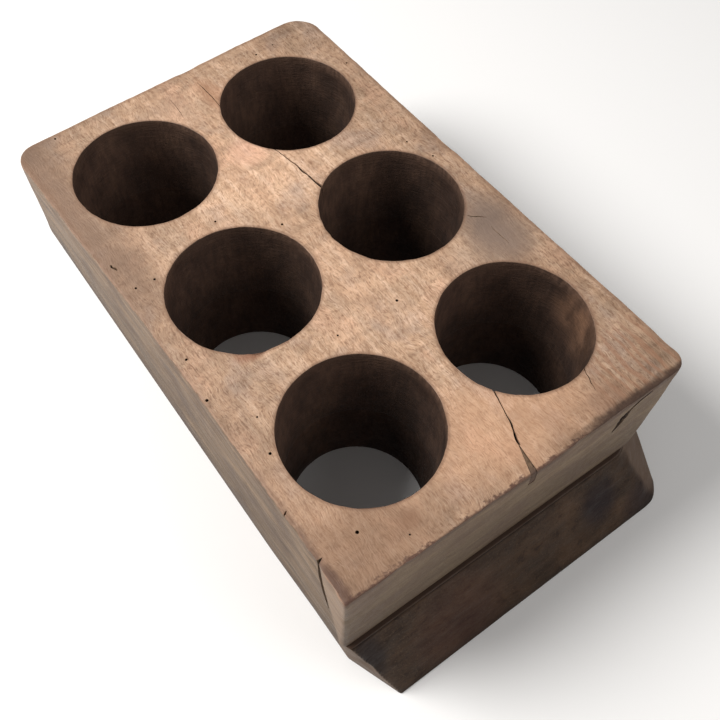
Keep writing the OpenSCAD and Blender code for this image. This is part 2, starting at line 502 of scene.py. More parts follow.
def crack(points, inward, widths, depths):
    """A V-shaped crack along points that lie on the surface."""
    P = np.array(points, float)
    inward = np.array(inward, float) / np.linalg.norm(inward)
    q = np.linspace(0, len(P) - 1, (len(P) - 1) * 5 + 1)
    dense = np.stack([np.interp(q, np.arange(len(P)), P[:, k]) for k in range(3)], 1)
    w = np.interp(q, np.linspace(0, len(P) - 1, len(widths)), widths)
    dep = np.interp(q, np.linspace(0, len(P) - 1, len(depths)), depths)
    jag = vnoise(np.column_stack([q * 1.7, q * 0, q * 0 + P[0, 0]]), 77)
    t = np.gradient(dense, axis=0)
    t /= np.linalg.norm(t, axis=1)[:, None]
    s = np.cross(t, inward)
    s /= np.linalg.norm(s, axis=1)[:, None]
    mid = dense + s * (jag * 0.35)[:, None]
    w = np.maximum(w * (1 + 0.3 * vnoise(np.column_stack([q * 2.9, q * 0, q * 0]), 78)), 0.12)
    k = (1 + 1.2 / dep) * 0.5
    a = mid + s * (w * k)[:, None] - inward * 1.2
    b = mid - s * (w * k)[:, None] - inward * 1.2
    c = mid + inward * dep[:, None]
    m = len(q)
    v = np.vstack([a, b, c])
    f = []
    for i in range(m - 1):
        j = i + 1
        for x, y in ((0, m), (m, 2 * m), (2 * m, 0)):
            f += [(x + i, y + i, y + j), (x + i, y + j, x + j)]
    f += [(0, 2 * m, m), (m - 1, 2 * m - 1, 3 * m - 1)]
    v0, v1, v2 = v[f[0][0]], v[f[0][1]], v[f[0][2]]
    cen = v.mean(0)
    nrm = np.cross(v1 - v0, v2 - v0)
    if nrm @ (v0 - c[0]) < 0:
        f = [x[::-1] for x in f]
    add_cut(v, f)


def pin_hole(x, y, r=0.8, deep=4.0, lean=(0.15, 0.1), z=None):
    n = 10
    zt = (TOP if z is None else z) + 1.5
    t = np.arange(n) * 2 * math.pi / n
    ring = np.stack([np.cos(t), np.sin(t), t * 0], 1) * r
    a = ring + [x, y, zt]
    b = ring + [x + lean[0] * deep, y + lean[1] * deep, zt - 1.5 - deep]
    v = list(a) + list(b)
    f = [tuple(range(n)), tuple(range(2 * n - 1, n - 1, -1))]
    f += [(i, n + i, n + (i + 1) % n, (i + 1) % n) for i in range(n)]
    add_cut(v, f)


DOWN = (0, 0, -1)
Z = TOP
crack([(17.0, 74, Z), (18.4, 70.2, Z), (20.3, 63.4, Z), (21.3, 53.5, Z), (21.9, 45.9, Z), (22.3, 39.3, Z), (23.5, 33.0, Z)], DOWN, [0.25, 0.5, 0.8, 1.0, 0.9, 1.5], [1.5, 3, 5, 6, 7])
crack([(12.4, 141, Z), (12.7, 136, Z), (13.0, 125.7, Z), (12.7, 114.8, Z), (12.3, 111, Z)], DOWN, [0.2, 0.5, 0.7, 0.4, 0.2], [1, 3, 3, 1])
crack([(14.2, -111.5, Z), (13.4, -114.4, Z), (12.0, -118.6, Z), (9.8, -126.2, Z), (7.6, -132.6, Z), (5.0, -138.2, Z), (4.2, -140.0, Z)], DOWN, [1.5, 0.8, 0.6, 0.6, 0.8, 1.2, 0.8], [8, 6, 5, 6, 7])
crack([(56.2, -127.3, Z), (53.5, -133.2, Z), (52.1, -137.0, Z), (51.2, -140.3, Z)], DOWN, [0.5, 0.55, 0.5, 0.2], [2.5, 2.5, 1])
crack([(72.4, -27.0, Z), (76, -30.4, Z), (79.8, -33.5, Z)], DOWN, [0.4, 0.7, 0.25], [2, 3, 1])
crack([(77.5, -39.5, Z), (77.3, -46.5, Z), (77.6, -53, Z)], DOWN, [0.2, 0.45, 0.2], [1, 2, 1])
crack([(-7.4, 139, Z), (-7.3, 129.2, Z), (-8.6, 119.5, Z)], DOWN, [0.2, 0.35, 0.2], [0.6, 1.5, 0.6])
crack([(-91.4, 52.3, Z), (-90.8, 49.5, Z), (-90.3, 47.6, Z)], DOWN, [0.8, 1.3, 0.8], [2, 4, 2])
crack([(-97.2, -106.0, Z), (-96.0, -105.6, Z), (-94.6, -105.0, Z)], DOWN, [0.9, 1.0, 0.4], [2, 3, 1])
INW = (0.03, 1, 0.05)
crack([(73.5, -155.5, 91.0), (66.6, -155.6, 89.8), (62.2, -155.7, 87.6), (59.0, -155.8, 84.8), (57.0, -155.9, 81.8), (55.0, -156.0, 78.2), (52.4, -156.2, 74.0)], INW, [0.8, 2.0, 2.6, 4.8, 5.4, 3.2, 0.6], [2, 6, 8, 7, 2])
crack([(-97.4, -129.6, 94.2), (-97.7, -131.5, 89.0), (-98.1, -133.7, 83.0), (-98.6, -136.5, 76.0), (-99.1, -139.6, 68.7), (-99.5, -141.5, 63.5)], (1, 0.15, 0), [1.8, 2.7, 2.9, 2.2, 1.2, 0.2], [3.0, 4.5, 4.0, 2.6, 0.9])
for x, y, r in [
    (-76.8, -129.8, 0.85), (-93.6, -40.6, 0.8), (-89.9, -16.7, 0.7), (-88.4, 32.7, 0.65),
    (-78.4, 32.1, 0.7), (-34.9, 46.0, 0.6), (-8.4, 24.4, 0.7), (-25.8, -47.1, 0.55),
    (-73.8, 147.2, 0.7), (53.1, 141.2, 0.65), (92.1, 104.3, 0.6), (80.4, 33.0, 0.6),
    (85.1, 16.4, 0.6), (9.2, -47.7, 0.75), (-85.6, -79.1, 0.75), (-80.2, -60.9, 0.5),
    (66.0, 143.0, 0.5), (-60.0, -143.5, 0.45),
]:
    pin_hole(x, y, r)

FILL_X, FILL_Y, FILL_A = 0.4, -NEAR_Y, math.radians(-15)


def wedge(length, w_end, gap, z0, z1):
    """The open end of the crack: narrow at its inner tip, widest at the near end face."""
    c, s = math.cos(FILL_A), math.sin(FILL_A)
    rows = []
    for y in np.linspace(length, -4, 12):
        w = w_end / 2 * (length - y) / (length + 4) - gap
        rows.append((y, max(w, 0.12)))
    left = [(-w, y) for y, w in rows]
    right = [(w, y) for y, w in rows]
    loop = right + left[::-1]
    xy = [(FILL_X + c * x - s * y, FILL_Y + s * x + c * y) for x, y in loop]
    n = len(xy)
    area = sum(xy[i][0] * xy[(i + 1) % n][1] - xy[(i + 1) % n][0] * xy[i][1] for i in range(n))
    if area < 0:
        xy = xy[::-1]
    v = [(x, y, z0) for x, y in xy] + [(x, y, z1) for x, y in xy]
    f = [tuple(range(n))[::-1], tuple(range(n, 2 * n))]
    f += [(i, (i + 1) % n, n + (i + 1) % n, n + i) for i in range(n)]
    return v, f


def cutter_object(name, vs, fs):
    me = bpy.data.meshes.new(name)
    me.from_pydata([tuple(c * 0.001 for c in p) for p in vs], [], fs)
    me.validate()
    ob = bpy.data.objects.new(name, me)
    bpy.context.scene.collection.objects.link(ob)
    return ob


def boolean(ob, cutter, op):
    m = ob.modifiers.new("cut", "BOOLEAN")
    m.operation = op
    m.solver = "MANIFOLD"
    m.object = cutter
    n0 = len(ob.data.polygons)
    apply_modifiers(ob)
    print("boolean", ob.name, op, n0, "->", len(ob.data.polygons))


# The filler takes the block's own worn surface, and sits a little low in its slot.
filler = upper.copy()
filler.data = upper.data.copy()
filler.name = "crack_filler_wedge"
filler.data.name = "crack_filler_wedge"
bpy.context.scene.collection.objects.link(filler)
wv, wf = wedge(15.9, 4.4, 0.03, TOP - 8.9, TOP + 4)
c1 = cutter_object("tmp_wedge_a", wv, wf)
boolean(filler, c1, "INTERSECT")
wv, wf = wedge(16.0, 4.4, 0.0, TOP - 9.0, TOP + 4)
c2 = cutter_object("tmp_wedge_b", wv, wf)
boolean(upper, c2, "DIFFERENCE")
cv = np.vstack(cut_v)
cf = [t for g in cut_f for t in g]
c3 = cutter_object("tmp_cracks", [tuple(p) for p in cv], cf)
boolean(upper, c3, "DIFFERENCE")
for c in (c1, c2, c3):
    bpy.data.objects.remove(c)

rm = filler.modifiers.new("fine", "REMESH")
rm.mode = "VOXEL"
rm.voxel_size = 0.00032
apply_modifiers(filler)
me = filler.data
co = np.zeros(len(me.vertices) * 3, np.float32)
me.vertices.foreach_get("co", co)
co = co.reshape(-1, 3).astype(float) * 1000
no = np.array([v.normal[:] for v in me.vertices])
d = 0.12 * vnoise(co / [1.1, 2.2, 1.1], 91) + 0.08 * vnoise(co / 0.6, 92) - 0.10
co = co + no * d[:, None] - np.array([0, 0, 0.06])
me.vertices.foreach_set("co", (co * 0.001).astype(np.float32).ravel())
me.update()

for o in (upper, lower, filler):
    smooth_shade(o)


# ------------------------------------------------------------------ materials
def lin(r, g, b):
    f = lambda c: c / 12.92 if c <= 0.04045 else ((c + 0.055) / 1.055) ** 2.4
    return (f(r / 255), f(g / 255), f(b / 255), 1.0)


class Mat:
    """A short way to write a procedural material. Positions are in millimetres."""

    def __init__(self, name):
        self.m = bpy.data.materials.new(name)
        self.m.use_nodes = True
        self.t = self.m.node_tree
        self.t.nodes.clear()
        out = self.t.nodes.new("ShaderNodeOutputMaterial")
        self.b = self.t.nodes.new("ShaderNodeBsdfPrincipled")
        self.t.links.new(self.b.outputs[0], out.inputs[0])
        tc = self.t.nodes.new("ShaderNodeTexCoord")
        vm = self.t.nodes.new("ShaderNodeVectorMath")
        vm.operation = "SCALE"
        vm.inputs["Scale"].default_value = 1000.0
        self.t.links.new(tc.outputs["Object"], vm.inputs[0])
        self.P = vm.outputs[0]
        sp = self.t.nodes.new("ShaderNodeSeparateXYZ")
        self.t.links.new(self.P, sp.inputs[0])
        self.x, self.y, self.z = sp.outputs
        ge = self.t.nodes.new("ShaderNodeNewGeometry")
        sn = self.t.nodes.new("ShaderNodeSeparateXYZ")
        self.t.links.new(ge.outputs["Normal"], sn.inputs[0])
        self.nx, self.ny, self.nz = sn.outputs

    def put(self, sock, v):
        if isinstance(v, bpy.types.NodeSocket):
            self.t.links.new(v, sock)
        else:
            sock.default_value = v

    def math(self, op, a, b=None, c=None, clamp=False):
        n = self.t.nodes.new("ShaderNodeMath")
        n.operation = op
        n.use_clamp = clamp
        for k, v in enumerate((a, b, c)):
            if v is not None:
                self.put(n.inputs[k], v)
        return n.outputs[0]

    def add(self, a, b):
        return self.math("ADD", a, b)

    def sub(self, a, b):
        return self.math("SUBTRACT", a, b)

    def mul(self, *a):
        r = a[0]
        for b in a[1:]:
            r = self.math("MULTIPLY", r, b)
        return r

    def step(self, v, a, b, lo=0.0, hi=1.0):
        n = self.t.nodes.new("ShaderNodeMapRange")
        n.interpolation_type = "SMOOTHSTEP"
        self.put(n.inputs[0], v)
        if a > b:
            a, b, lo, hi = b, a, hi, lo
        for k, q in enumerate((a, b, lo, hi)):
            n.inputs[k + 1].default_value = q
        return n.outputs[0]

    def vec(self, sx, sy, sz, off=(0, 0, 0), base=None):
        n = self.t.nodes.new("ShaderNodeMapping")
        self.put(n.inputs["Vector"], self.P if base is None else base)
        n.inputs["Scale"].default_value = (1 / sx, 1 / sy, 1 / sz)
        n.inputs["Location"].default_value = off
        return n.outputs[0]

    def noise(self, vec, detail=2.0, rough=0.5, dist=0.0):
        n = self.t.nodes.new("ShaderNodeTexNoise")
        self.put(n.inputs["Vector"], vec)
        n.inputs["Scale"].default_value = 1.0
        n.inputs["Detail"].default_value = detail
        n.inputs["Roughness"].default_value = rough
        n.inputs["Distortion"].default_value = dist
        return n.outputs[0]

    def warp(self, amount, size, off=(0, 0, 0)):
        """The position, bent by a slow noise."""
        n = self.t.nodes.new("ShaderNodeTexNoise")
        self.put(n.inputs["Vector"], self.vec(size[0], size[1], size[2], off))
        n.inputs["Scale"].default_value = 1.0
        n.inputs["Detail"].default_value = 2.0
        s = self.t.nodes.new("ShaderNodeVectorMath")
        s.operation = "SUBTRACT"
        self.t.links.new(n.outputs["Color"], s.inputs[0])
        s.inputs[1].default_value = (0.5, 0.5, 0.5)
        m = self.t.nodes.new("ShaderNodeVectorMath")
        m.operation = "MULTIPLY"
        self.t.links.new(s.outputs[0], m.inputs[0])
        m.inputs[1].default_value = amount
        a = self.t.nodes.new("ShaderNodeVectorMath")
        a.operation = "ADD"
        self.t.links.new(self.P, a.inputs[0])
        self.t.links.new(m.outputs[0], a.inputs[1])
        return a.outputs[0]

    def mix(self, fac, a, b, mode="MIX"):
        n = self.t.nodes.new("ShaderNodeMix")
        n.data_type = "RGBA"
        n.blend_type = mode
        self.put(n.inputs[0], fac)
        self.put(n.inputs[6], a)
        self.put(n.inputs[7], b)
        return n.outputs[2]

    def gain(self, col, value):
        """Multiplies a colour by a number."""
        n = self.t.nodes.new("ShaderNodeVectorMath")
        n.operation = "SCALE"
        self.put(n.inputs[0], col)
        self.put(n.inputs["Scale"], value)
        return n.outputs[0]

    def ramp(self, fac, stops):
        n = self.t.nodes.new("ShaderNodeValToRGB")
        e = n.color_ramp.elements
        e[0].position, e[0].color = stops[0]
        e[1].position, e[1].color = stops[1]
        for p, c in stops[2:]:
            k = e.new(p)
            k.color = c
        self.put(n.inputs[0], fac)
        return n.outputs[0]

    def blob(self, cx, cy, rx, ry, soft=1.0):
        """1 at (cx, cy), falling to 0 at the ellipse rx, ry."""
        a = self.math("MULTIPLY", self.sub(self.x, cx), 1 / rx)
        b = self.math("MULTIPLY", self.sub(self.y, cy), 1 / ry)
        d = self.add(self.math("MULTIPLY", a, a), self.math("MULTIPLY", b, b))
        return self.step(d, 0.0, 1.0, soft, 0.0)

    def rho(self):
        """Distance to the nearest hole's axis."""
        ax = self.sub(self.math("ABSOLUTE", self.x), PITCH_X / 2)
        yy = self.math("DIVIDE", self.sub(self.y, GRID_Y), PITCH_Y)
        yr = self.math("ROUND", self.math("MAXIMUM", self.math("MINIMUM", yy, 1.0), -1.0))
        ay = self.math("MULTIPLY", self.sub(yy, yr), PITCH_Y)
        return self.math(
            "SQRT", self.add(self.math("MULTIPLY", ax, ax), self.math("MULTIPLY", ay, ay))
        ), ax, ay

    def finish(self, color, rough, height, spec=0.35):
        self.put(self.b.inputs["Base Color"], color)
        self.put(self.b.inputs["Roughness"], rough)
        self.b.inputs["Specular IOR Level"].default_value = spec
        bp = self.t.nodes.new("ShaderNodeBump")
        bp.inputs["Strength"].default_value = 1.0
        bp.inputs["Distance"].default_value = 0.001
        self.put(bp.inputs["Height"], height)
        self.t.links.new(bp.outputs[0], self.b.inputs["Normal"])
        return self.m


def hole_wall_color(g, dist_low):
    """Dark, smoke-stained walls with a few worn, bare places, and painted shade on one side of each hole. Returns the
    colour and three noise values.
    """
    n1 = g.noise(g.vec(16, 16, 26), 3, 0.6)
    n2 = g.noise(g.vec(2.2, 2.2, 9), 2, 0.6)
    n3 = g.noise(g.vec(5, 5, 1.3), 2, 0.5)
    c = g.ramp(n1, [(0.30, lin(72, 55, 47)), (0.72, lin(112, 86, 71)), (0.5, lin(92, 70, 59))])
    c = g.mix(g.step(n2, 0.35, 0.75, 0.0, 0.5), c, lin(58, 45, 40))
    c = g.mix(g.step(n3, 0.55, 0.8, 0.0, 0.3), c, lin(120, 93, 75))
    rho, ax, ay = g.rho()
    dx = g.math("MULTIPLY", ax, g.math("SIGN", g.x))
    # painted shade: the walls on one side of each hole are darkened
    shade_side = g.add(g.math("MULTIPLY", dx, 0.80), g.math("MULTIPLY", ay, -0.60))
    c = g.gain(c, g.step(shade_side, -12.0, 26.0, 1.10, 0.42))
    return c, n1, n2, n3


def upper_material():
    g = Mat("sanded_light_wood")
    rho, ax, ay = g.rho()
    wall = g.mul(g.step(rho, 38.75, 38.2), g.step(g.z, TOP + 0.05, TOP - 0.35))
    upness = g.step(g.nz, 0.45, 0.85)
    ends = g.step(g.math("ABSOLUTE", g.ny), 0.55, 0.8)
    # grain: fibres along Y, with a wavy, silky figure
    w1 = g.warp((9.0, 12.0, 6.0), (22, 26, 22))
    w2 = g.warp((5.5, 16.0, 5.0), (60, 75, 40), (3, 1, 2))
    fibre = g.noise(g.vec(0.70, 4.6, 0.85, base=w1), 3, 0.62)
    fleck = g.noise(g.vec(1.1, 2.6, 1.2, (7, 3, 1), base=w1), 2, 0.6)
    hair = g.noise(g.vec(0.62, 3.4, 0.7, (17, 13, 11), base=w1), 2, 0.6)
    streak = g.noise(g.vec(3.0, 34, 3.2, (1, 9, 4), base=w2), 3, 0.55)
    broad = g.noise(g.vec(16, 60, 18, (2, 2, 7), base=w2), 2, 0.5)
    curl = g.noise(g.vec(17, 4.2, 14, (5, 5, 5), base=w2), 2, 0.5)
    cloud = g.noise(g.vec(34, 38, 30, (9, 1, 3)), 3, 0.55)

    top = g.ramp(
        streak,
        [(0.28, lin(172, 138, 111)), (0.72, lin(212, 180, 154)), (0.5, lin(194, 160, 132))],
    )
    top = g.mix(g.step(broad, 0.38, 0.66, 0.0, 0.5), top, lin(192, 154, 126))
    tint = g.noise(g.vec(22, 30, 20, (4, 8, 2)), 3, 0.6)
    top = g.mix(g.step(tint, 0.53, 0.70, 0.0, 0.45), top, lin(172, 150, 137))
    top = g.mix(g.step(tint, 0.45, 0.32, 0.0, 0.36), top, lin(214, 168, 139))
    patch = g.noise(g.vec(9, 13, 9, (1, 6, 3), base=w1), 3, 0.6)
    top = g.gain(top, g.step(patch, 0.32, 0.68, 0.84, 1.10))
    top = g.mix(g.step(fibre, 0.50, 0.70, 0.0, 0.72), top, lin(140, 104, 80))
    top = g.mix(g.step(hair, 0.55, 0.72, 0.0, 0.34), top, lin(232, 204, 178))
    top = g.mix(g.step(fleck, 0.50, 0.68, 0.0, 0.50), top, lin(126, 92, 70))
    top = g.gain(top, g.step(curl, 0.25, 0.75, 0.88, 1.10))
    # painted sheen: paler along the middle, darker towards the margins, with a painted highlight at the far centre
    sheen_falloff = g.math("ABSOLUTE", g.x)
    top = g.gain(top, g.step(sheen_falloff, 25.0, 95.0, 1.08, 0.80))
    top = g.gain(top, g.add(1.0, g.mul(g.blob(0, 60, 46, 34), 0.20)))
    top = g.gain(top, g.sub(1.0, g.mul(g.step(g.y, -118, -152), g.step(cloud, 0.3, 0.7, 0.10, 0.42))))
    top = g.mix(g.mul(g.blob(-70, -118, 60, 60), 0.25), top, lin(196, 154, 124))
    top = g.mix(g.mul(g.blob(8, -128, 55, 34), 0.45), top, lin(206, 158, 124))
    top = g.mix(g.mul(g.blob(78, -40, 22, 34), g.step(cloud, 0.3, 0.6, 0.45, 0.9)), top, lin(122, 104, 93))
    top = g.mix(g.mul(g.blob(66, -50, 34, 16), 0.30), top, lin(150, 128, 113))
    top = g.mix(g.mul(g.step(g.x, -66, -90), g.step(g.y, -10, 60), g.step(cloud, 0.3, 0.6, 0.55, 0.9)), top, lin(128, 103, 86))
    top = g.gain(top, g.sub(1.0, g.mul(g.step(g.y, 118, 152), 0.16)))
    top = g.mix(g.mul(g.blob(14, 128, 8, 20), 0.6), top, lin(160, 116, 88))
    top = g.mix(g.mul(g.blob(-14, 125, 22, 20), 0.35), top, lin(178, 148, 126))
    top = g.mix(g.mul(g.blob(-63, -30, 12, 7), 0.75), top, lin(140, 92, 70))
    top = g.mix(g.mul(g.blob(-56, -138, 7, 6), 0.5), top, lin(148, 110, 86))
    top = g.mix(g.mul(g.blob(-72, -134, 46, 34), 0.22), top, lin(160, 118, 88))
    top = g.gain(top, g.sub(1.0, g.mul(g.blob(-72, -138, 46, 30), 0.20)))
    top = g.gain(top, 0.93)
    top = g.mix(g.mul(g.blob(6, 78, 14, 14), 0.35), top, lin(232, 178, 152))
    top = g.mix(g.mul(g.blob(52, -147, 16, 10), 0.45), top, lin(130, 96, 76))
    # wavy figure at the near right corner
    wv = g.t.nodes.new("ShaderNodeTexWave")
    wv.wave_type = "BANDS"
    wv.bands_direction = "X"
    wv.inputs["Scale"].default_value = 1.0
    wv.inputs["Distortion"].default_value = 5.0
    wv.inputs["Detail"].default_value = 2.0
    wv.inputs["Detail Scale"].default_value = 1.4
    g.put(wv.inputs["Vector"], g.vec(16, 30, 16, base=w2))
    top = g.mix(g.mul(g.blob(80, -138, 36, 26), g.step(wv.outputs[1], 0.45, 0.9, 0.0, 0.6)), top, lin(146, 106, 82))
    # worn, dirty edges along the near and left sides
    dn = g.add(g.add(g.y, NEAR_Y), g.math("MULTIPLY", g.x, math.tan(NEAR_SKEW)))
    en = g.noise(g.vec(7, 5, 5, (3, 3, 3)), 3, 0.6)
    speck = g.noise(g.vec(1.5, 1.2, 1.5, (2, 5, 9)), 2, 0.6)
    near_band = g.mul(g.step(g.add(dn, g.add(g.math("MULTIPLY", g.sub(en, 0.5), -9.0), g.math("MULTIPLY", g.sub(speck, 0.5), -5.0))), 2.2, 0.2), 0.85)
    near_band = g.math("MAXIMUM", near_band, g.mul(g.step(dn, 1.3, 0.3), 0.75))
    dl = g.add(g.x, 97.0)
    left_band = g.mul(
        g.step(g.add(dl, g.math("MULTIPLY", g.sub(en, 0.5), -6.0)), 4.0, 0.2), g.step(g.y, -60, -150), 0.8
    )
    dr = g.sub(97.0, g.x)
    df = g.sub(g.add(FAR_Y, g.math("MULTIPLY", g.x, math.tan(FAR_SKEW))), g.y)
    thin = g.math("MAXIMUM", g.step(g.add(dr, g.mul(en, -2.0)), 2.2, 0.2), g.step(g.add(df, g.mul(en, -2.0)), 2.2, 0.2))
    thin = g.math("MAXIMUM", thin, g.step(g.add(dl, g.mul(en, -3.0)), 3.0, 0.3))
    top = g.mix(g.mul(thin, 0.45), top, lin(128, 98, 78))
    top = g.mix(near_band, top, lin(76, 50, 42))
    top = g.mix(left_band, top, lin(84, 60, 50))
    corner = g.mul(g.step(g.add(dn, g.math("MULTIPLY", g.sub(en, 0.5), -6.0)), 5.6, 1.8), g.step(g.x, 4, 52), 0.9)
    top = g.mix(corner, top, lin(60, 43, 34))
    # rim of each hole: a thin darker ring, and scratches that cross it
    ang = g.math("ARCTAN2", ay, ax)
    co = g.t.nodes.new("ShaderNodeCombineXYZ")
    g.put(co.inputs[0], g.math("MULTIPLY", ang, 26.0))
    g.put(co.inputs[1], g.math("MULTIPLY", rho, 0.14))
    g.put(co.inputs[2], g.math("MULTIPLY", g.math("ROUND", g.math("DIVIDE", g.y, 80.0)), 7.0))
    rad = g.noise(co.outputs[0], 2, 0.6)
    ring = g.step(rho, 47.0, 39.0)
    top = g.mix(g.mul(ring, g.step(rad, 0.52, 0.72, 0.0, 0.42)), top, lin(140, 108, 86))
    top = g.mix(g.mul(g.step(rho, 40.0, 38.6), 0.55), top, lin(120, 90, 72))

    # long sides: greyer, darker towards the joint, with long streaks
    s1 = g.noise(g.vec(4, 46, 2.0, (4, 2, 2), base=w2), 3, 0.6)
    s2 = g.noise(g.vec(14, 28, 12, (1, 5, 8)), 3, 0.6)
    side = g.ramp(s1, [(0.3, lin(104, 84, 65)), (0.72, lin(156, 130, 104)), (0.5, lin(130, 107, 85))])
    side = g.mix(g.step(s2, 0.42, 0.68, 0.0, 0.6), side, lin(92, 72, 60))
    side = g.mix(g.step(fibre, 0.5, 0.72, 0.0, 0.38), side, lin(78, 62, 48))
    side = g.mix(g.step(hair, 0.56, 0.74, 0.0, 0.2), side, lin(172, 146, 120))
    side = g.gain(side, g.step(g.z, JOINT, TOP, 0.72, 1.04))
    side = g.mix(g.mul(g.step(g.z, JOINT + 9, JOINT), 0.55), side, lin(70, 52, 42))
    side = g.gain(side, g.step(g.y, 90, -150, 0.82, 0.70))
    side = g.mix(g.mul(g.step(g.add(g.y, g.math("MULTIPLY", g.sub(TOP, g.z), 0.37)), -131.5, -133.0), g.step(g.x, -60, -80), 0.45), side, lin(150, 126, 106))
    # ends: grey-brown end grain with faint long saw marks
    e1 = g.noise(g.vec(60, 30, 3.6, (6, 1, 1), base=w1), 3, 0.6)
    e2 = g.noise(g.vec(26, 20, 9, (2, 2, 6)), 3, 0.6)
    end = g.ramp(e1, [(0.3, lin(106, 88, 68)), (0.72, lin(148, 127, 101)), (0.5, lin(127, 108, 85))])
    end = g.mix(g.step(e2, 0.42, 0.66, 0.0, 0.55), end, lin(104, 82, 70))
    end = g.mix(g.step(fleck, 0.54, 0.76, 0.0, 0.35), end, lin(88, 68, 56))
    end = g.gain(end, g.step(g.z, JOINT, TOP, 0.62, 1.08))
    end = g.gain(end, g.step(g.x, -100, 100, 0.94, 1.04))
    end = g.gain(g.mix(0.2, end, lin(112, 86, 66)), 0.93)
    low = g.mix(ends, side, end)
    # painted shadow: a dark line on the upper block where it meets the lower one
    low = g.mix(g.mul(g.step(g.z, JOINT + 0.7, JOINT + 0.1), 0.85), low, lin(30, 22, 18))
    low = g.mix(g.mul(g.step(g.z, TOP - 2.2, TOP - 0.4), g.step(en, 0.4, 0.62, 0.0, 0.6)), low, lin(150, 112, 88))
    low = g.mix(g.mul(near_band, g.step(g.z, TOP - 5, TOP - 1), 0.7), low, lin(78, 56, 47))
    outer = g.mix(upness, low, top)

    wc, n1, n2, n3 = hole_wall_color(g, None)
    # bare patches on the walls of the near right hole
    bare = g.math("MAXIMUM", g.mul(g.blob(16, -74, 22, 24), g.step(g.z, 55, 82)), g.mul(g.blob(80, -108, 16, 26), g.step(g.z, 48, 80)))
    wc = g.mix(g.mul(bare, g.step(n1, 0.35, 0.65, 0.25, 0.9)), wc, lin(122, 91, 71))
    wc = g.mix(g.mul(g.step(g.z, TOP - 9, TOP - 0.5), g.step(n2, 0.38, 0.66, 0.25, 0.8)), wc, lin(104, 80, 66))
    col = g.mix(wall, outer, wc)
    # painted shade: inside the slot, cracks and flight holes the wood is painted nearly black
    deep = g.step(g.sub(TOP, g.z), 0.45, 1.3)
    face_n = g.add(dn, g.math("MULTIPLY", g.sub(TOP, g.z), 3.0 / 52))
    face_f = g.add(df, g.math("MULTIPLY", g.sub(TOP, g.z), 3.0 / 52))
    face_r = g.add(dr, g.math("MULTIPLY", g.sub(TOP, g.z), 4.0 / 52))
    face_l = g.add(dl, g.math("MULTIPLY", g.sub(TOP, g.z), 4.0 / 52))
    inner = g.mul(deep, g.step(face_n, 0.9, 1.9), g.step(face_f, 1.2, 2.2), g.step(face_r, 1.6, 2.6))
    inner = g.mul(inner, g.step(face_l, 3.2, 4.2), g.step(rho, 38.7, 39.2), g.step(g.z, JOINT + 0.3, JOINT + 0.8))
    ax_, ay_ = g.math("ABSOLUTE", g.x), g.math("ABSOLUTE", g.y)
    inner = g.mul(inner, g.math("MAXIMUM", g.step(ax_, 64, 62), g.step(ay_, 122, 120)))
    col = g.mix(g.mul(inner, 0.9), col, lin(30, 20, 16))
    # painted shade in the split on the left face
    split = g.mul(g.step(face_l, 0.5, 1.3), g.step(g.math("ABSOLUTE", g.add(g.add(g.y, 130.0), g.math("MULTIPLY", g.sub(TOP, g.z), 0.37))), 2.2, 1.2), deep)
    col = g.mix(g.mul(split, g.step(g.x, -90, -93), 0.85), col, lin(34, 23, 18))
    # painted shade in the open crack on the near face
    gap = g.mul(g.step(face_n, 0.55, 1.1), g.step(g.x, 49, 51), g.step(g.x, 78, 76), g.step(g.z, 72, 74), g.step(g.y, -140, -144), deep)
    col = g.mix(g.mul(gap, g.step(rho, 38.7, 39.2), 0.9), col, lin(26, 18, 14))
    rough = g.add(g.step(streak, 0.3, 0.7, 0.52, 0.64), g.mul(wall, -0.06))
    h = g.add(g.mul(g.sub(fibre, 0.5), -0.22), g.mul(g.sub(hair, 0.5), 0.14))
    h = g.add(h, g.mul(g.sub(curl, 0.5), 0.14))
    h = g.add(h, g.mul(ring, g.sub(rad, 0.5), 0.10))
    h = g.add(h, g.mul(g.sub(e1, 0.5), ends, 0.08))
    h = g.add(h, g.mul(g.sub(n3, 0.5), wall, 0.35))
    return g.finish(col, rough, h, 0.32)


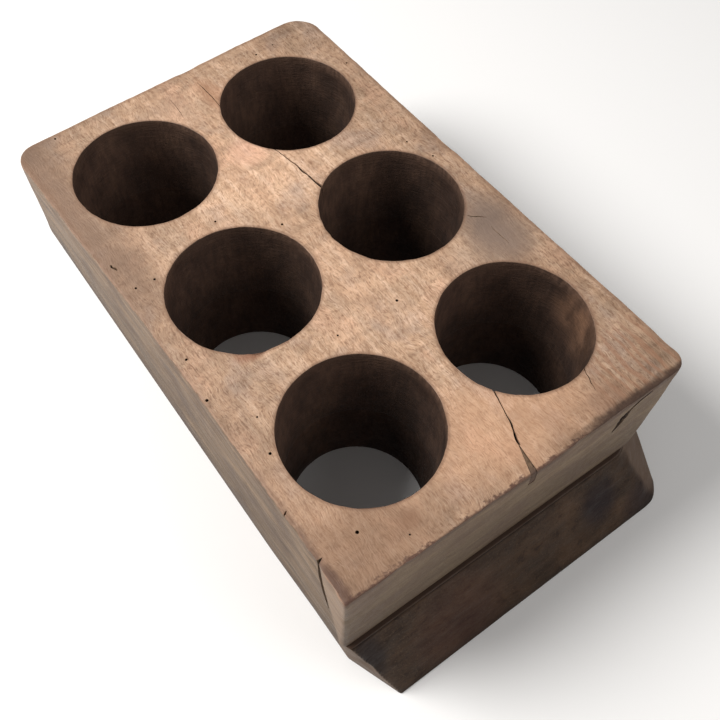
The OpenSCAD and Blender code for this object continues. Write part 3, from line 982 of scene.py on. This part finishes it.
def lower_material():
    g = Mat("dark_old_wood")
    rho, ax, ay = g.rho()
    wall = g.step(rho, 38.4, 37.8)
    w1 = g.warp((4, 8, 4), (22, 30, 22), (2, 2, 2))
    n1 = g.noise(g.vec(26, 26, 13, (1, 4, 2), base=w1), 4, 0.62)
    n2 = g.noise(g.vec(9, 9, 5, (5, 1, 2), base=w1), 3, 0.6)
    n3 = g.noise(g.vec(1.1, 4.0, 1.1, (8, 3, 1)), 3, 0.62)
    n4 = g.noise(g.vec(38, 20, 2.2, (2, 7, 3), base=w1), 3, 0.55)
    c = g.ramp(n1, [(0.3, lin(50, 36, 26)), (0.72, lin(86, 63, 45)), (0.5, lin(67, 49, 35))])
    c = g.mix(g.step(n4, 0.45, 0.72, 0.0, 0.45), c, lin(82, 60, 43))
    c = g.mix(g.step(n2, 0.56, 0.72, 0.0, 0.6), c, lin(36, 25, 22))
    c = g.mix(g.step(n2, 0.34, 0.22, 0.0, 0.4), c, lin(84, 54, 44))
    c = g.mix(g.step(n3, 0.5, 0.75, 0.0, 0.6), c, lin(30, 23, 19))
    n5 = g.noise(g.vec(0.9, 0.9, 1.6, (3, 9, 1)), 2, 0.6)
    c = g.mix(g.step(n5, 0.56, 0.76, 0.0, 0.5), c, lin(104, 84, 66))
    # a reddish area and purple-black blots on the near toe
    c = g.mix(g.mul(g.blob(-45, -172, 34, 18), 0.4), c, lin(78, 48, 39))
    c = g.mix(g.mul(g.blob(49, -170, 16, 9), 0.7), c, lin(34, 24, 30))
    c = g.mix(g.mul(g.blob(78, -182, 20, 12), 0.65), c, lin(34, 24, 30))
    c = g.mix(g.mul(g.blob(-92, -163, 10, 10), 0.7), c, lin(32, 24, 26))
    sides = g.mul(g.step(g.math("ABSOLUTE", g.nx), 0.6, 0.85), 0.6)
    c = g.mix(sides, c, lin(124, 102, 84))
    bevel = g.mul(g.step(g.nx, 0.25, 0.5), g.step(g.nx, 0.85, 0.7), 0.55)
    c = g.mix(bevel, c, lin(122, 100, 84))
    c = g.mix(g.mul(g.step(g.z, 4.0, 0.2), 0.5), c, lin(40, 30, 26))
    # painted shade: a dark line in the groove just below the joint
    groove_shade = g.mul(g.step(g.z, JOINT - 1.75, JOINT - 1.4), g.step(g.z, JOINT - 0.8, JOINT - 1.15))
    c = g.mix(g.mul(groove_shade, 0.85), c, lin(18, 13, 11))
    # painted light: the narrow top of the ledge below the joint is lightened against its shadow
    ledge_painted_light = g.mul(g.step(g.z, JOINT - 0.9, JOINT - 0.2), g.step(g.nz, 0.2, 0.7))
    c = g.mix(g.mul(ledge_painted_light, 0.8), c, lin(64, 46, 36))
    c = g.gain(c, 0.84)
    wc, m1, m2, m3 = hole_wall_color(g, None)
    c = g.mix(wall, c, wc)
    rough = g.step(n2, 0.3, 0.7, 0.52, 0.70)
    h = g.add(g.mul(g.sub(n3, 0.5), 0.16), g.mul(g.sub(n4, 0.5), 0.25))
    h = g.add(h, g.mul(g.sub(n2, 0.5), 0.4))
    return g.finish(c, rough, h, 0.18)


def filler_material():
    g = Mat("grey_brown_filler")
    n1 = g.noise(g.vec(2.2, 4.0, 2.2), 3, 0.6)
    n2 = g.noise(g.vec(0.7, 1.2, 0.7, (3, 3, 3)), 2, 0.6)
    c = g.ramp(n1, [(0.3, lin(86, 67, 51)), (0.7, lin(122, 98, 77)), (0.5, lin(104, 83, 65))])
    c = g.mix(g.step(n2, 0.5, 0.72, 0.0, 0.7), c, lin(74, 58, 46))
    tip = g.step(g.y, -143, -134)
    c = g.mix(g.mul(tip, 0.8), c, lin(52, 36, 30))
    edge = g.step(g.y, -149, -154)
    c = g.mix(g.mul(edge, 0.55), c, lin(84, 66, 60))
    h = g.add(g.mul(g.sub(n2, 0.5), 0.25), g.mul(g.sub(n1, 0.5), 0.2))
    return g.finish(c, g.step(n1, 0.3, 0.7, 0.66, 0.82), h, 0.25)


def peg_material():
    g = Mat("plain_peg_wood")
    w = g.warp((1.5, 1.5, 6), (8, 8, 20))
    n1 = g.noise(g.vec(0.8, 0.8, 9, base=w), 3, 0.6)
    n2 = g.noise(g.vec(3, 3, 24, (2, 2, 2), base=w), 2, 0.5)
    c = g.ramp(n2, [(0.3, lin(184, 148, 104)), (0.7, lin(214, 182, 138)), (0.5, lin(200, 166, 122))])
    c = g.mix(g.step(n1, 0.5, 0.75, 0.0, 0.55), c, lin(150, 116, 78))
    h = g.mul(g.sub(n1, 0.5), 0.14)
    return g.finish(c, g.step(n1, 0.3, 0.7, 0.55, 0.7), h, 0.3)


def wear_material(ob, mat):
    ob.data.materials.clear()
    ob.data.materials.append(mat)


wear_material(upper, upper_material())
wear_material(lower, lower_material())
wear_material(filler, filler_material())
peg = peg_material()
for name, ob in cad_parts.items():
    if "dowel" in name:
        if ob.material_slots:
            for sl in ob.material_slots:
                sl.material = peg
        else:
            ob.data.materials.append(peg)

for ob, node, sl in (
    (upper, "upper_block", "light_wood"),
    (lower, "lower_block", "dark_wood"),
    (filler, "crack_filler", "filler"),
):
    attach(ob, "root")
    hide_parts(node)

# ------------------------------------------------------------------ camera, floor and light
scene = bpy.context.scene
cam_data = bpy.data.cameras.new("camera")
cam = bpy.data.objects.new("camera", cam_data)
scene.collection.objects.link(cam)
R = np.array(
    [
        [0.7993378, -0.6006208, 0.0177101],
        [-0.5027557, -0.6846542, -0.5277171],
        [0.3290832, 0.4129204, -0.8492356],
    ]
)
M = Matrix.Identity(4)
for k in range(3):
    M[k][0], M[k][1], M[k][2] = R[0][k], -R[1][k], -R[2][k]
M[0][3], M[1][3], M[2][3] = -0.15863, -0.22643, 0.43055
cam.matrix_world = M
cam_data.sensor_width = 36.0
cam_data.sensor_fit = "HORIZONTAL"
cam_data.lens = 861.245 / 720 * 36.0
cam_data.shift_x = (360.0 - 353.566) / 720
cam_data.shift_y = 0.0
cam_data.clip_start = 0.01
cam_data.clip_end = 20
scene.camera = cam

fm = bpy.data.meshes.new("floor")
fm.from_pydata([(-4, -4, -0.0002), (4, -4, -0.0002), (4, 4, -0.0002), (-4, 4, -0.0002)], [], [(0, 1, 2, 3)])
floor = bpy.data.objects.new("floor", fm)
scene.collection.objects.link(floor)
fmat = bpy.data.materials.new("pale_floor")
fmat.use_nodes = True
fb = fmat.node_tree.nodes["Principled BSDF"]
fb.inputs["Base Color"].default_value = (0.89, 0.885, 0.88, 1)
fb.inputs["Roughness"].default_value = 0.8
fb.inputs["Specular IOR Level"].default_value = 0.1
fm.materials.append(fmat)


def area_light(name, loc, target, size, power, color=(1, 1, 1)):
    d = bpy.data.lights.new(name, "AREA")
    d.shape = "DISK"
    d.size = size
    d.energy = power
    d.color = color
    o = bpy.data.objects.new(name, d)
    scene.collection.objects.link(o)
    v = Vector(target) - Vector(loc)
    o.rotation_euler = v.to_track_quat("-Z", "Y").to_euler()
    o.location = loc
    return o


area_light("key", (-0.92, 0.70, 1.15), (0, 0, 0.05), 0.85, 34, (1.0, 0.985, 0.965))
area_light("fill", (0.7, -1.0, 1.0), (0, 0, 0.05), 1.2, 6, (1.0, 0.98, 0.96))

world = bpy.data.worlds.new("studio")
scene.world = world
world.use_nodes = True
bg = world.node_tree.nodes["Background"]
bg.inputs[0].default_value = (1.0, 0.99, 0.98, 1)
bg.inputs[1].default_value = 0.28
scene.view_settings.view_transform = "Standard"
scene.view_settings.look = "None"
scene.view_settings.exposure = 0.0
scene.view_settings.gamma = 1.0

bpy.context.view_layer.update()
